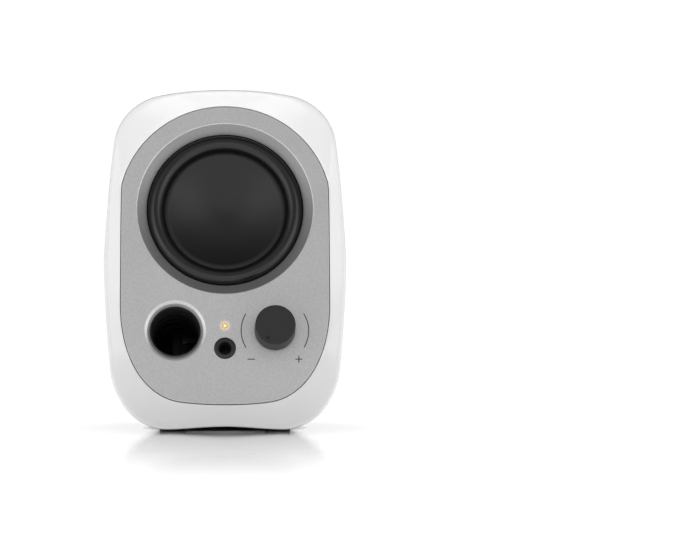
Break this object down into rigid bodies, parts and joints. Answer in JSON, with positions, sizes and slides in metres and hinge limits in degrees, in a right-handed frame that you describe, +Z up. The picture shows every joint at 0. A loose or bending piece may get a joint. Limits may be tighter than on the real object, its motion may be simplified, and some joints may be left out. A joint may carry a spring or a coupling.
{
  "type": "powered bookshelf speaker",
  "caption": "Leaning desktop loudspeaker with a pillow-backed cabinet, silver front, full-range driver, bass port, headphone socket and volume knob.",
  "frame": {"origin": "centre of the bounding box's footprint, on the plane the rubber feet stand on", "axes": "+Z up, the leaning front faces -Y, +X to the right as seen from the front"},
  "size_m": [0.1026, 0.1064, 0.1462],
  "materials": {
    "white_gloss": "polished",
    "silver_paint": "fine metallic grain, satin",
    "black_plastic": "moulded, fine texture",
    "jack_black": "satin",
    "foot_rubber": "matt",
    "surround_rubber": "satin butyl",
    "gasket_foam": "open foam",
    "spider_cloth": "resin-stiffened weave",
    "cone_fibre": "smooth pressed",
    "former_paper": "amber film",
    "copper_wire": "enamelled",
    "basket_steel": "satin black",
    "zinc_steel": "zinc plated",
    "screw_steel": "blackened",
    "ferrite": "ground ceramic",
    "knob_plastic": "soft matt",
    "pot_metal": "plain",
    "carbon_track": "matt",
    "wiper_brass": "spring brass",
    "circuit_board": "solder mask",
    "clear_plastic": "clear, lit",
    "led_body": "lit",
    "capacitor_sleeve": "shrink sleeve",
    "coil_ferrite": "sintered",
    "socket_metal": "stamped",
    "jack_green": "satin",
    "phono_metal": "nickel plated",
    "wire_pvc": "soft sleeve",
    "ribbon_pvc": "flat cable",
    "plug_nylon": "moulded nylon"
  },
  "bodies": {
    "cabinet": {"rear_shell": "white_gloss", "front_bezel": "white_gloss", "fascia": "silver_paint", "inner_baffle": "black_plastic", "port_tube": "black_plastic", "terminal_strip": "black_plastic", "rear_panel": "black_plastic", "headphone_jack": "jack_black", "front_feet": "foot_rubber", "rear_feet": "foot_rubber", "surround": "surround_rubber", "driver_gasket": "gasket_foam", "driver_seal": "gasket_foam", "spider": "spider_cloth", "tinsel_leads": "copper_wire", "driver_frame": "basket_steel", "top_plate": "zinc_steel", "pole_yoke": "zinc_steel", "pot_nut": "zinc_steel", "case_screws": "screw_steel", "bezel_screws": "screw_steel", "driver_screws": "screw_steel", "control_board_screws": "screw_steel", "rear_panel_screws": "screw_steel", "amp_board_screws": "screw_steel", "magnet": "ferrite", "pot_case": "pot_metal", "pot_track": "carbon_track", "amp_chip": "carbon_track", "control_board": "circuit_board", "amp_board": "circuit_board", "light_pipe": "clear_plastic", "power_led": "led_body", "amp_capacitors": "capacitor_sleeve", "amp_coils": "coil_ferrite", "usb_socket": "socket_metal", "line_in_jack": "jack_green", "speaker_out_socket": "phono_metal", "driver_wires": "wire_pvc", "control_ribbon": "ribbon_pvc", "wire_plug": "plug_nylon", "ribbon_plugs": "plug_nylon"},
    "knob": {"knob_cap": "knob_plastic", "pot_shaft": "zinc_steel", "pot_wiper": "wiper_brass"},
    "diaphragm": {"cone": "cone_fibre", "coil_former": "former_paper", "voice_coil": "copper_wire"}
  },
  "joints": [
    {"name": "volume_turn", "type": "hinge", "parent": "cabinet", "child": "knob", "pos_m": [0.021, -0.04618, 0.04355], "axis": [0, 0.9781, -0.2079], "range_deg": [0, 300]},
    {"name": "cone_stroke", "type": "slide", "parent": "cabinet", "child": "diaphragm", "axis": [0, -0.9781, 0.2079], "range_m": [-0.002, 0.002], "stiffness_N_per_m": 900, "deforming": ["surround", "spider", "tinsel_leads"]}
  ]
}
